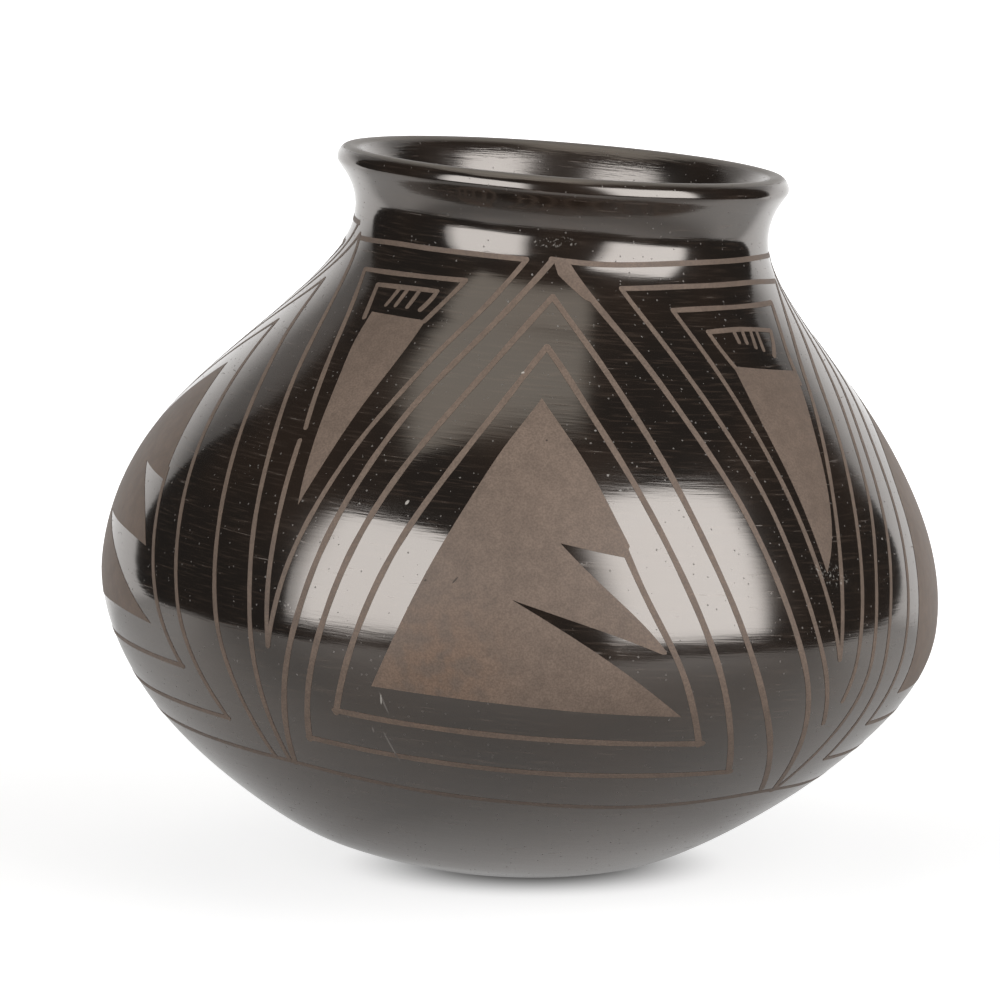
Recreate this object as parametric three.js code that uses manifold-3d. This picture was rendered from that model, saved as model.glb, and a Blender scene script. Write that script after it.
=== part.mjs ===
// A round-bottomed jar of burnished black earthenware, built by hand from a moulded base bowl,
// coils of clay laid up into the wall, and a last coil rolled over into the lip.
//
// Millimetres, +Z up. The origin is the middle of the flat spot that the jar stands on.
// The jar is turned about its own axis, which leans towards +X, as a jar on a round bottom does.

import * as THREE from "three";
import { mergeVertices } from "three/addons/utils/BufferGeometryUtils.js";
import Module from "manifold-3d";

// Outside of the jar. Heights run along its own axis.
const BASE_CURVE = 163; // radius of the dished mould that shapes the base
const HEEL_RADIUS = 50; // ring where the base leaves that curve and the wall starts to rise
const BELLY_RADIUS = 120; // widest ring
const BELLY_HEIGHT = 82.3; // of the widest ring above the bottom
const SHOULDER_RISE = 105; // from the belly up to the narrowest ring of the neck
const NECK_RADIUS = 59.2;
const LIP_OVERHANG = 5.5; // how far the lip stands out past the neck
const LIP_RISE = 14; // from the neck up to the widest ring of the lip
const LIP_ROLL = 3.8; // how far the top of the lip lies inside its widest ring
const LIP_CROWN = 4.2; // from the widest ring of the lip up to its top

// How far the outline holds its direction on leaving each ring.
const HEEL_SWEEP = 14;
const UNDER_BELLY_SWEEP = 36;
const OVER_BELLY_SWEEP = 50.9;
const UNDER_NECK_SWEEP = 25;
const OVER_NECK_SWEEP = 8.5;
const UNDER_LIP_SWEEP = 2;
const OVER_LIP_SWEEP = 4.5;
const THROAT_SWEEP = 9;

// How the clay is laid up.
const WALL = 6; // thickness of the wall, measured square to it
const BASE_REACH = 84; // from the middle of the base to its edge, along the outside
const LAP = 6; // how far down the inside a coil laps the course below
const SLIP = 0.4; // seam along the wall for the slip that joins two courses

// How the jar stands.
const LEAN = THREE.MathUtils.degToRad(5);
const SWAY = 3.2; // how far the ring centres swing to each side of the axis
const SWAY_HEIGHT = 86.8; // where that swing crosses the axis
const SWAY_RISE = 87; // from there up to its furthest
const RIPPLE = 0.7; // a shorter swing on top of it, from one coil to the next
const RIPPLE_HEIGHT = 141.2;
const RIPPLE_RISE = 22.3;
const FOOT_RADIUS = 18; // flat spot worn on the base

// Facets.
const RING_FACETS = 60;
const BASE_STEPS = 8;
const COIL_STEPS = 3;
const FLARE_STEPS = 5;
const CROWN_STEPS = 4;
const THROAT_STEPS = 5;

const WALL_COILS = [
  "lower_wall_coil",
  "under_belly_coil",
  "belly_coil",
  "over_belly_coil",
  "shoulder_coil",
  "neck_coil",
];

const burnishedBlack = new THREE.MeshStandardMaterial({
  name: "burnished_black",
  color: 0x1b1614,
  roughness: 0.2,
  metalness: 0,
});

// The outside of the jar from the middle of its base up to the neck, as radius and height.
function outerWall() {
  const heelTurn = Math.asin(HEEL_RADIUS / BASE_CURVE);
  const heel = new THREE.Vector2(HEEL_RADIUS, BASE_CURVE * (1 - Math.cos(heelTurn)));
  const heelSlope = new THREE.Vector2(Math.cos(heelTurn), Math.sin(heelTurn));
  const belly = new THREE.Vector2(BELLY_RADIUS, BELLY_HEIGHT);
  const neck = new THREE.Vector2(NECK_RADIUS, BELLY_HEIGHT + SHOULDER_RISE);

  const wall = new THREE.CurvePath();
  wall.add(
    new THREE.EllipseCurve(0, BASE_CURVE, BASE_CURVE, BASE_CURVE, -Math.PI / 2, heelTurn - Math.PI / 2),
  );
  wall.add(
    new THREE.CubicBezierCurve(
      heel,
      heel.clone().addScaledVector(heelSlope, HEEL_SWEEP),
      new THREE.Vector2(belly.x, belly.y - UNDER_BELLY_SWEEP),
      belly,
    ),
  );
  wall.add(
    new THREE.CubicBezierCurve(
      belly,
      new THREE.Vector2(belly.x, belly.y + OVER_BELLY_SWEEP),
      new THREE.Vector2(neck.x, neck.y - UNDER_NECK_SWEEP),
      neck,
    ),
  );
  return wall;
}

const wall = outerWall();
const wallLength = wall.getLength();

// The point a given way along the outside, and the one facing it on the inside, which never passes the axis.
function outsideAt(along) {
  return wall.getPointAt(along / wallLength);
}
function insideAt(along) {
  const tangent = wall.getTangentAt(along / wallLength);
  const inside = outsideAt(along).add(new THREE.Vector2(-tangent.y, tangent.x).multiplyScalar(WALL));
  return inside.setX(Math.max(inside.x, 0));
}

// Points of the outside or the inside, in equal steps from one place along the wall to another.
function run(pointAt, from, to, steps) {
  return Array.from({ length: steps + 1 }, (_, i) => pointAt(from + ((to - from) * i) / steps));
}

// Each joint slants across the wall: it lies a lap further down on the inside.
const joints = WALL_COILS.map(
  (_, i) => BASE_REACH + ((wallLength - BASE_REACH) * i) / WALL_COILS.length,
);
joints.push(wallLength);

function baseSection() {
  const edge = joints[0];
  return [...run(outsideAt, 0, edge, BASE_STEPS), ...run(insideAt, edge - LAP, 0, BASE_STEPS)];
}

function coilSection(index) {
  const [foot, top] = [joints[index] + SLIP, joints[index + 1]];
  return [
    ...run(outsideAt, foot, top, COIL_STEPS),
    ...run(insideAt, top - LAP, foot - LAP, COIL_STEPS),
    outsideAt(foot),
  ];
}

// The last coil flares out of the neck, is rolled over at the top and runs down the throat.
function rimSection() {
  const neckHeight = BELLY_HEIGHT + SHOULDER_RISE;
  const lipHeight = neckHeight + LIP_RISE;
  const lipRadius = NECK_RADIUS + LIP_OVERHANG;
  const lipTop = new THREE.Vector2(lipRadius - LIP_ROLL, lipHeight + LIP_CROWN);
  const neckBore = NECK_RADIUS - WALL;
  const seat = new THREE.Vector2(NECK_RADIUS, neckHeight + SLIP);
  const flare = new THREE.CubicBezierCurve(
    seat,
    new THREE.Vector2(NECK_RADIUS, seat.y + OVER_NECK_SWEEP),
    new THREE.Vector2(lipRadius, lipHeight - UNDER_LIP_SWEEP),
    new THREE.Vector2(lipRadius, lipHeight),
  );
  const crown = new THREE.EllipseCurve(lipTop.x, lipHeight, LIP_ROLL, LIP_CROWN, 0, Math.PI / 2);
  const throat = new THREE.CubicBezierCurve(
    lipTop,
    new THREE.Vector2(lipTop.x - OVER_LIP_SWEEP, lipTop.y),
    new THREE.Vector2(neckBore, neckHeight + THROAT_SWEEP),
    new THREE.Vector2(neckBore, neckHeight),
  );
  return [
    ...flare.getPoints(FLARE_STEPS),
    ...crown.getPoints(CROWN_STEPS).slice(1),
    ...throat.getPoints(THROAT_STEPS).slice(1),
    insideAt(wallLength - LAP + SLIP),
    seat,
  ];
}

// How far a swing carries a ring to +X: nothing where it crosses the axis, all its reach a rise above.
function swing(reach, crossing, rise, height) {
  return reach * Math.sin(((Math.PI / 2) * (height - crossing)) / rise);
}

// The ring centres lie to -X below the belly and to +X above it.
function wanderAt(height) {
  const slow = swing(SWAY, SWAY_HEIGHT, SWAY_RISE, height);
  return slow + swing(RIPPLE, RIPPLE_HEIGHT, RIPPLE_RISE, height);
}

// A section turned about the jar's axis, with each ring moved to its own centre.
function turned(section) {
  const geometry = new THREE.LatheGeometry(section, RING_FACETS).rotateX(Math.PI / 2);
  const places = geometry.getAttribute("position");
  for (let i = 0; i < places.count; i++) {
    places.setX(i, places.getX(i) + wanderAt(places.getZ(i)));
  }
  return geometry;
}

const jar = new THREE.Group();
jar.name = "blackware_jar";

// The base curve's lowest point goes over the origin, sunk by the depth of the flat spot.
function stand(group) {
  const middle = new THREE.Vector3(wanderAt(0), 0, BASE_CURVE);
  const flatDepth = BASE_CURVE - Math.sqrt(BASE_CURVE ** 2 - FOOT_RADIUS ** 2);
  group.rotation.y = LEAN;
  middle.applyEuler(group.rotation);
  group.position.set(-middle.x, 0, BASE_CURVE - flatDepth - middle.z);
  group.updateMatrix();
}
stand(jar);

const wasm = await Module();
wasm.setup();

function toSolid(geometry) {
  const bare = geometry.clone().deleteAttribute("normal").deleteAttribute("uv");
  const merged = mergeVertices(bare, 1e-3);
  return new wasm.Manifold(
    new wasm.Mesh({
      numProp: 3,
      vertProperties: new Float32Array(merged.attributes.position.array),
      triVerts: new Uint32Array(merged.index.array),
    }),
  );
}

function toGeometry(solid) {
  const mesh = solid.getMesh();
  const geometry = new THREE.BufferGeometry();
  geometry.setAttribute("position", new THREE.BufferAttribute(mesh.vertProperties, 3));
  geometry.setIndex(new THREE.BufferAttribute(mesh.triVerts, 1));
  return geometry.toNonIndexed();
}

// The base with its underside cut flat at the level that the jar stands on.
function flattenedBase() {
  const ground = new THREE.BoxGeometry(4 * BELLY_RADIUS, 4 * BELLY_RADIUS, BASE_CURVE);
  ground.translate(0, 0, -BASE_CURVE / 2).applyMatrix4(jar.matrix.clone().invert());
  return toGeometry(toSolid(turned(baseSection())).subtract(toSolid(ground)));
}

function addCourse(name, geometry) {
  geometry.computeVertexNormals();
  const course = new THREE.Mesh(geometry, burnishedBlack);
  course.name = name;
  jar.add(course);
}

addCourse("base_bowl", flattenedBase());
WALL_COILS.forEach((name, i) => addCourse(name, turned(coilSection(i))));
addCourse("rim_coil", turned(rimSection()));

export default jar;
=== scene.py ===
import math

import bpy
import numpy as np
from mathutils import Matrix, Vector
from mathutils.geometry import delaunay_2d_cdt


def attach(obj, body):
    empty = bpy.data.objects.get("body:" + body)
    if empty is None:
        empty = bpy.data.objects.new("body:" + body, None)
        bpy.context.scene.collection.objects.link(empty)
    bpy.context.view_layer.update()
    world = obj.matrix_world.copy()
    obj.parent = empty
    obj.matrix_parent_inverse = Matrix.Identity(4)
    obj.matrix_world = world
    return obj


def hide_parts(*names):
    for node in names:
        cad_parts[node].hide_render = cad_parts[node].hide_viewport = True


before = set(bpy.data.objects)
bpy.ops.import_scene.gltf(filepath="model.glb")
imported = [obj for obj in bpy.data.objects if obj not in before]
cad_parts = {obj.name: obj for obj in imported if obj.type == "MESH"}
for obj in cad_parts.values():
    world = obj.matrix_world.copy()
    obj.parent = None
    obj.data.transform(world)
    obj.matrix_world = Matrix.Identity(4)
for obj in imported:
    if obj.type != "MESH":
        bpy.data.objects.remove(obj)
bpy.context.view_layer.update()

MM = 0.001

# The camera: how it looks down at its target, from how far and how far it sees, in metres. Its lens and
# sensor are in millimetres.
CAMERA_ELEVATION = math.radians(8.331)
CAMERA_DISTANCE = 1.584
CAMERA_TARGET = Vector((-0.00955, 0, 0.10589))
CAMERA_REACH = 50.0
FOCAL_LENGTH = 199.2
SENSOR = 36.0

# The studio, in metres and degrees. A box's place is given by its angles from a point in the jar, and its
# yaw and pitch turn its face. Glow is radiance, on a scale where a white surface shows 1.
AIM = (0.0, -0.05, 0.1)
BOX_DISTANCE = 1.2
RIGHT_BOX = {"azimuth": 52.7, "elevation": 25.3, "yaw": 28.5, "pitch": 10.4, "width": 1.10, "height": 1.22}
RIGHT_GLOW = 3.4
LEFT_BOX = {"azimuth": -39.4, "elevation": 23.5, "yaw": -46.0, "pitch": 3.0, "width": 1.0, "height": 1.075}
LEFT_GLOW = 3.2
CEILING_PLACE = (-0.115, 0.04, 1.2)
CEILING_SIZE = (0.84, 0.93)
CEILING_GLOW = 0.72
CEILING_COLOUR = (1.0, 0.95, 0.86)
ROOM_GLOW = 0.03

# Each panel dims to EDGE_GLOW of its light at its edges, over these shares of its width and height.
EDGE_GLOW = 0.35
LEFT_FADE = (0.17, 0.07)
RIGHT_FADE = (0.13, 0.06)
CEILING_FADE = (0.1, 0.1)

# The paper sweep: half widths at its front edge, beside the jar and at the back, and where it bends up.
# PAPER is its own brightness.
SWEEP_FRONT = -0.42
SWEEP_FRONT_HALF = 0.34
SWEEP_SIDE = 0.05
SWEEP_SIDE_HALF = 0.66
SWEEP_BEND = 0.3
SWEEP_BACK_HALF = 0.77
SWEEP_RADIUS = 0.25
SWEEP_STEPS = 24
SWEEP_TOP = 0.9
PAPER = 0.5

# The contact shadow, partly real and partly painted where the paper's painted glow is left out, clears
# between these ways from the jar's foot, with X shortened.
PAINTED_SHADOW_STRETCH = 0.85
PAINTED_SHADOW_FROM = 0.015
PAINTED_SHADOW_TO = 0.05

# A glow painted on the paper that only the camera sees, on top of the lit paper: round the partly painted
# contact shadow, and more towards the back.
LIFT_ROUND = 0.75
LIFT_BACK = 0.4

# A painted reflection, a glow on the paper that only reflections see on top of it: under the jar out to a
# reach, less of it in the painted contact shadow, and in three bands that each come in between two places
# along Y and go up to a level. The strongest one counts, and all of it falls off up the back and, with X
# shortened, to the sides.
SHEEN_UNDER = 0.85
SHEEN_REACH = 0.112
CONTACT_SHEEN = 0.15
NEAR_SHEEN = (-0.15, 0.04, 0.45)
FRONT_SHEEN = (-0.12, -0.35, 0.15)
BACK_SHEEN = (0.1, 0.42, 1.0)
FALL_STRETCH = 0.4
FALL_FROM = 0.3
FALL_TO = 0.63

# The jar's shape in millimetres, as in the part: heights run along the jar's own axis.
BASE_CURVE = 163.0
HEEL_RADIUS = 50.0
BELLY_RADIUS = 120.0
BELLY_HEIGHT = 82.3
SHOULDER_RISE = 105.0
NECK_RADIUS = 59.2
LIP_OVERHANG = 5.5
LIP_RISE = 14.0
LIP_ROLL = 3.8
LIP_CROWN = 4.2
HEEL_SWEEP = 14.0
UNDER_BELLY_SWEEP = 36.0
OVER_BELLY_SWEEP = 50.9
UNDER_NECK_SWEEP = 25.0
OVER_NECK_SWEEP = 8.5
UNDER_LIP_SWEEP = 2.0
OVER_LIP_SWEEP = 4.5
THROAT_SWEEP = 9.0
WALL = 6.0
BASE_REACH = 84.0
LAP = 6.0
LEAN = math.radians(5.0)
SWAY = 3.2
SWAY_HEIGHT = 86.8
SWAY_RISE = 87.0
RIPPLE = 0.7
RIPPLE_HEIGHT = 141.2
RIPPLE_RISE = 22.3
FOOT_RADIUS = 18.0
WALL_COILS = [
    "lower_wall_coil",
    "under_belly_coil",
    "belly_coil",
    "over_belly_coil",
    "shoulder_coil",
    "neck_coil",
]

# How the hand-built jar departs from the turned form of the part, in millimetres. In front the shoulder
# is fuller and the neck is tucked in above it, the rim dips to the left, and the wall is a little uneven.
FULLNESS = 1.6
FULL_FROM = 165.0
FULL_TO = 256.0
TUCK = 3.4
TUCK_TO = 284.0
RIM_TILT = 0.7
UNEVEN = 0.15
EVEN_BASE = 60.0

# The unevenness is made of waves: how many go round, the way up that turns each by a radian, and its start.
UNEVEN_WAVES = [(7, 14.0, 0.0), (11, -10.0, 1.0), (3, 7.0, 2.0)]

# How finely the skin is drawn, and how far it stays inside the part's facets. Normals are read from points
# a nudge apart, in millimetres along the wall and radians round it. None is taken as shorter than TINY.
WALL_POINTS = 600
RIM_POINTS = 200
COLUMNS = 240
OUTSIDE_STEP = 2.5
INSIDE_STEP = 5.0
RIM_STEP = 0.8
SKIN_INSET = 0.3
NUDGE = 0.02
NUDGE_TURN = 0.0002
TINY = 1e-12

# The polish is partly gone inside and all gone in a band on the lip. The band comes in between two shares
# of the way over the crown, and goes out again in the throat.
INSIDE_WEAR = 0.2
LIP_BAND_FROM = 0.4
LIP_BAND_FULL = 0.8
LIP_BAND = 2.6
LIP_BAND_FADE = 0.6

# The burnished slip. Scales are per metre, and a span is the part of a noise over which a look comes in.
# Sizes of spots are shares of a cell, and their ragged edges come from a finer noise.
NOISE_SPAN = (0.3, 0.7)
SLIP_COOL = (0.013, 0.0095, 0.0075, 1)
SLIP_BROWN = (0.021, 0.0125, 0.008, 1)
BROWN_SPAN = (0.35, 0.65)
RUBBED_CLAY = (0.1, 0.086, 0.073, 1)
STREAK = (0.045, 0.031, 0.023, 1)
STREAK_SPAN = (0.5, 0.75)
STREAK_DULL_SPAN = (0.66, 0.8)
GRIT = (0.075, 0.066, 0.06, 1)
GRIT_SCALE = 800.0
GRIT_LARGEST = 0.26
GRIT_EMPTY = 0.7
DUST = (0.2, 0.19, 0.18, 1)
DUST_SCALE = 300.0
DUST_LARGEST = 0.13
DUST_EMPTY = 0.82
SPOT_EDGE = 0.05
SPOT_RAGGED = 0.35
SPOT_RAGGED_SCALE = 5
PATCH_SCALE = 25.0
STROKE_SCALE = (90.0, 90.0, 1800.0)
STROKE_DEPTH = 0.00011
STROKE_POLISHED = 0.15
FACET_SCALE = (35.0, 35.0, 350.0)
FACET_DEPTH = 0.00003
GLOSS_BEST = 0.09
GLOSS_WORST = 0.17
WEAR_DULLS = 0.34
SPOTS_DULL = 0.45
BURNISH_IOR = 2.4
BURNISH_TINT = (1.0, 0.93, 0.875, 1)

# Marks of use: degrees round, and in millimetres the way up, half the length and half the width, and the
# turn from level in degrees. A mark is full up to MARK_EDGE of its size.
CHIPS = [(-18.4, 196.1, 0.9, 0.5, 60.0), (-6.2, 241.0, 0.55, 0.4, 20.0), (-17.7, 140.6, 1.9, 0.22, 85.0)]
SCUFFS = [(45.5, 181.6, 9.0, 3.6, -20.0), (-2.5, 281.8, 8.0, 1.8, 0.0), (-32.4, 162.4, 3.4, 1.6, -35.0)]
PITS = [
    (-17.0, 167.7, 0.5, 0.4, 0.0), (-13.5, 175.3, 0.5, 0.35, 30.0), (0.0, 219.5, 0.4, 0.4, 0.0),
    (14.5, 212.9, 0.45, 0.3, 0.0), (59.0, 288.5, 0.5, 0.5, 0.0), (-9.6, 176.3, 1.4, 0.3, 50.0),
]
SCRATCHES = [
    (-17.3, 139.6, 4.2, 0.3, -75.0), (-16.3, 124.2, 7.0, 0.3, -76.0), (-18.9, 129.7, 1.2, 0.3, 90.0),
]
MARK_EDGE = 0.6
CHIP_COLOUR = (0.5, 0.47, 0.43, 1)
SCRATCH_COLOUR = (0.13, 0.115, 0.105, 1)
PIT_COLOUR = (0.06, 0.042, 0.033, 1)
SCUFF_SCALE = 1300.0
SCUFF_SPAN = (0.56, 0.66)
SCUFF_SHARE = 0.5

# The matte paint. It has a brown stain round one place, and turns darker between two heights in metres,
# towards the foot. A shade is the darkest and the brightest that a noise makes the colour.
PAINT_COLOUR = (0.174, 0.126, 0.097, 1)
STAIN_COLOUR = (0.19, 0.125, 0.088, 1)
STAIN_PLACE = (-10.8, 151.7)
STAIN_REACH = 0.03
STAIN_SPAN = (0.35, 0.6)
FOOTWARD_COLOUR = (0.125, 0.095, 0.077, 1)
FOOTWARD_FROM = 0.048
FOOTWARD_TO = 0.03
SLOW_SHADE = (0.94, 1.06)
MOTTLE_SCALE = 240.0
MOTTLE_SHADE = (0.92, 1.08)
GRAIN_SCALE = 2000.0
GRAIN_SHADE = (0.82, 1.18)
GRAIN_DEPTH = 0.00003
PAINT_ROUGHNESS = (0.5, 0.65)
PAINT_IOR = 1.5

# The painted lines, in millimetres. A line swells and thins by a share of its width, in waves of so many
# radians per millimetre. Each line lies a layer higher than the last one, up to PAINT_LAYERS of them.
LINE_WIDTH = 1.75
SIDE_LINE_WIDTH = 1.45
TICK_WIDTH = 1.25
BRUSH_STEP = 2.0
BRUSH_SWELL = 0.09
SWELL_ACROSS = 0.21
SWELL_UP = 0.33
SWELL_SLOW = 0.12
LINE_END_ANGLES = (30.0, 60.0, 80.0)
PAINT_PROUD = 0.08
PAINT_SUNK = -0.04
PAINT_LAYER = 0.003
PAINT_LAYERS = 9

# A painted solid is laid out flat on a ring of this radius and cut into triangles over this grid.
FILL_RADIUS = 100.0
FILL_GRID = 2.5
FILL_MERGE = 1e-6
FILL_INSIDE_ONLY = 1


def cubic(points, count):
    t = np.linspace(0, 1, count)[:, None]
    a, b, c, d = (np.array(p, float) for p in points)
    return (1 - t) ** 3 * a + 3 * t * (1 - t) ** 2 * b + 3 * t * t * (1 - t) * c + t**3 * d


def arc(centre, radius, start, end, count):
    angle = np.linspace(start, end, count)
    return np.stack([centre[0] + radius * np.cos(angle), centre[1] + radius * np.sin(angle)], 1)


class Outline:
    """A line of radius and height, read by the way along it."""

    def __init__(self, *runs):
        self.points = np.vstack([runs[0]] + [run[1:] for run in runs[1:]])
        steps = np.hypot(*np.diff(self.points, axis=0).T)
        self.along = np.concatenate([[0.0], np.cumsum(steps)])
        slope = np.gradient(self.points, self.along, axis=0)
        self.slope = slope / np.linalg.norm(slope, axis=1)[:, None]
        self.length = self.along[-1]
        self.ends = self.along[np.cumsum([len(runs[0])] + [len(run) - 1 for run in runs[1:]]) - 1]

    def at(self, along):
        return np.stack([np.interp(along, self.along, self.points[:, i]) for i in (0, 1)], -1)

    def outward(self, along):
        turn = [np.interp(along, self.along, self.slope[:, i]) for i in (0, 1)]
        normal = np.stack([turn[1], -turn[0]], -1)
        return normal / np.linalg.norm(normal, axis=-1, keepdims=True)


def wall_outline():
    """From the middle of the base out to the belly and up to the neck."""
    heel_turn = math.asin(HEEL_RADIUS / BASE_CURVE)
    heel = np.array([HEEL_RADIUS, BASE_CURVE * (1 - math.cos(heel_turn))])
    heel_slope = np.array([math.cos(heel_turn), math.sin(heel_turn)])
    belly = np.array([BELLY_RADIUS, BELLY_HEIGHT])
    neck = np.array([NECK_RADIUS, BELLY_HEIGHT + SHOULDER_RISE])
    up = np.array([0.0, 1.0])
    return Outline(
        arc((0, BASE_CURVE), BASE_CURVE, -math.pi / 2, heel_turn - math.pi / 2, WALL_POINTS),
        cubic([heel, heel + HEEL_SWEEP * heel_slope, belly - UNDER_BELLY_SWEEP * up, belly], WALL_POINTS),
        cubic([belly, belly + OVER_BELLY_SWEEP * up, neck - UNDER_NECK_SWEEP * up, neck], WALL_POINTS),
    )


def rim_outline():
    """From the neck up the flare, over the lip and down inside to the neck's bore."""
    up = np.array([0.0, 1.0])
    out = np.array([1.0, 0.0])
    neck = NECK_RADIUS * out + (BELLY_HEIGHT + SHOULDER_RISE) * up
    lip = neck + LIP_OVERHANG * out + LIP_RISE * up
    middle = lip - LIP_ROLL * out
    top = middle + LIP_CROWN * up
    bore = neck - WALL * out
    quarter = np.linspace(0, math.pi / 2, RIM_POINTS)[:, None]
    return Outline(
        cubic([neck, neck + OVER_NECK_SWEEP * up, lip - UNDER_LIP_SWEEP * up, lip], RIM_POINTS),
        middle + LIP_ROLL * np.cos(quarter) * out + LIP_CROWN * np.sin(quarter) * up,
        cubic([top, top - OVER_LIP_SWEEP * out, bore + THROAT_SWEEP * up, bore], RIM_POINTS),
    )


WALL_LINE = wall_outline()
RIM_LINE = rim_outline()


def swing(reach, crossing, rise, height):
    """Nothing at the crossing, and the whole reach a rise above it."""
    return reach * np.sin(math.pi / 2 * (height - crossing) / rise)


def wander_at(height):
    """How far a ring's centre lies to the right of the jar's axis."""
    return swing(SWAY, SWAY_HEIGHT, SWAY_RISE, height) + swing(RIPPLE, RIPPLE_HEIGHT, RIPPLE_RISE, height)


def stance():
    """Where the jar's own origin stands, so that its flat spot lies on the floor at the frame's origin."""
    x, z = float(wander_at(0.0)), BASE_CURVE
    middle_x = x * math.cos(LEAN) + z * math.sin(LEAN)
    middle_z = -x * math.sin(LEAN) + z * math.cos(LEAN)
    flat_depth = BASE_CURVE - math.sqrt(BASE_CURVE**2 - FOOT_RADIUS**2)
    return -middle_x, BASE_CURVE - flat_depth - middle_z


STAND_X, STAND_Z = stance()


def ease(value, start, end):
    """0 up to the start and 1 from the end on, with a soft slope between."""
    t = np.clip((value - start) / (end - start), 0.0, 1.0)
    return t * t * (3 - 2 * t)


def hand_shape(theta, along):
    """How far the wall lies outside the turned form."""
    front = np.maximum(np.cos(theta), 0.0) ** 2
    shoulder = FULLNESS * ease(along, FULL_FROM, FULL_TO) - TUCK * ease(along, FULL_TO, TUCK_TO)
    waves = sum(np.sin(count * theta + along / climb + start) for count, climb, start in UNEVEN_WAVES)
    return front * shoulder + UNEVEN / len(UNEVEN_WAVES) * waves * ease(along, 0.0, EVEN_BASE)


def standing(theta, radius, height):
    """Frame position in metres of a place on a ring; theta 0 faces the camera and grows to its right."""
    neck = BELLY_HEIGHT + SHOULDER_RISE
    height = height + RIM_TILT * np.sin(theta) * ease(height, neck, neck + LIP_RISE)
    x = wander_at(height) + radius * np.sin(theta)
    y = -radius * np.cos(theta)
    frame_x = STAND_X + x * math.cos(LEAN) + height * math.sin(LEAN)
    frame_z = STAND_Z - x * math.sin(LEAN) + height * math.cos(LEAN)
    return np.stack([frame_x, y, np.maximum(frame_z, 0.0)], -1) * MM


def skin(outline, depth=0.0, start=0.0):
    """A surface of the jar as a function of angle and way along the outline, lying depth inside it.

    The outline starts the given way up the outside of the jar."""

    def place(theta, along, lift=0.0):
        flat = outline.at(along) + outline.outward(along) * np.asarray(lift - depth)[..., None]
        return standing(theta, flat[..., 0] + hand_shape(theta, along + start), flat[..., 1])

    return place


def normals_of(place, theta, along):
    across = place(theta + NUDGE_TURN, along) - place(theta - NUDGE_TURN, along)
    up = place(theta, along + NUDGE) - place(theta, along - NUDGE)
    normal = np.cross(across, up)
    return normal / np.maximum(np.linalg.norm(normal, axis=-1, keepdims=True), TINY)


outside = skin(WALL_LINE, SKIN_INSET)
inside = skin(WALL_LINE, WALL)
rim_skin = skin(RIM_LINE, SKIN_INSET, WALL_LINE.length)


class Clay:
    """Gathers points, faces and corner normals, then makes them into one mesh object.

    Wear is 0 where the clay is polished and 1 where its polish is rubbed away."""

    def __init__(self):
        self.points = []
        self.normals = []
        self.wear = []
        self.faces = []
        self.smooth = []

    def add(self, points, normals, wear=0.0):
        first = len(self.points)
        self.points.extend(map(tuple, points))
        self.normals.extend(map(tuple, normals))
        self.wear.extend([float(wear)] * len(points))
        return first

    def face(self, corners, smooth=True):
        self.faces.append(tuple(int(c) for c in corners))
        self.smooth.append(smooth)

    def make(self, name, material, slot):
        mesh = bpy.data.meshes.new(name)
        mesh.from_pydata(self.points, [], self.faces)
        mesh.polygons.foreach_set("use_smooth", self.smooth)
        mesh.update()
        corner_normals = []
        for polygon, smooth in zip(mesh.polygons, self.smooth):
            flat = tuple(polygon.normal)
            corner_normals += [self.normals[corner] if smooth else flat for corner in polygon.vertices]
        mesh.normals_split_custom_set(corner_normals)
        mesh.attributes.new("wear", "FLOAT", "POINT").data.foreach_set("value", self.wear)
        mesh.materials.append(material)
        thing = bpy.data.objects.new(name, mesh)
        bpy.context.scene.collection.objects.link(thing)
        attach(thing, "root")
        return thing


def stations(start, end, step):
    """Places from the start to the end, evenly spread and at most a step apart."""
    return np.linspace(start, end, max(2, int(math.ceil(abs(end - start) / step)) + 1))


THETA = np.arange(COLUMNS) * 2 * math.pi / COLUMNS


def add_rings(clay, place, along, flip=False, wear=0.0):
    """Adds one ring of points for each station along a surface and returns the rings' point numbers."""
    rings = []
    for way, worn in zip(along, np.broadcast_to(wear, len(along))):
        way_all = np.full(COLUMNS, float(way))
        normal = normals_of(place, THETA, way_all) * (-1 if flip else 1)
        first = clay.add(place(THETA, way_all), normal, worn)
        rings.append(np.arange(first, first + COLUMNS))
    return rings


def add_inside(clay, start, end):
    return add_rings(clay, inside, stations(start, end, INSIDE_STEP), True, INSIDE_WEAR)


def join_rings(clay, lower, upper, smooth=True):
    for i in range(COLUMNS):
        j = (i + 1) % COLUMNS
        clay.face((lower[i], lower[j], upper[j], upper[i]), smooth)


def close_course(clay, rings, joints):
    """Joins rings that run round a section, the last back to the first; joints are flat faces."""
    for k, ring in enumerate(rings):
        join_rings(clay, ring, rings[(k + 1) % len(rings)], smooth=k not in joints)


def rim_wear(along):
    """The top of the lip is rubbed dull; outside it is polished and the throat is only partly so."""
    widest, top = RIM_LINE.ends[0], RIM_LINE.ends[1]
    crown = ease((along - widest) / (top - widest), LIP_BAND_FROM, LIP_BAND_FULL)
    throat = ease(along, top + LIP_BAND, top + LIP_BAND + LIP_BAND_FADE)
    return crown * (1 - (1 - INSIDE_WEAR) * throat)


def coil(foot, top):
    clay = Clay()
    outer = add_rings(clay, outside, stations(foot, top, OUTSIDE_STEP))
    inner = add_inside(clay, top - LAP, foot - LAP)
    close_course(clay, outer + inner, {len(outer) - 1, len(outer) + len(inner) - 1})
    return clay


def cap(clay, place, ring, flip):
    """Closes a surface over the axis with a fan from the middle."""
    zero = np.zeros(1)
    middle = place(zero, zero)
    normal = np.array([[math.sin(LEAN), 0, math.cos(LEAN)]]) * (1 if flip else -1)
    centre = clay.add(middle, normal)
    for i in range(COLUMNS):
        j = (i + 1) % COLUMNS
        clay.face((centre, ring[i], ring[j]) if flip else (centre, ring[j], ring[i]))


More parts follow.
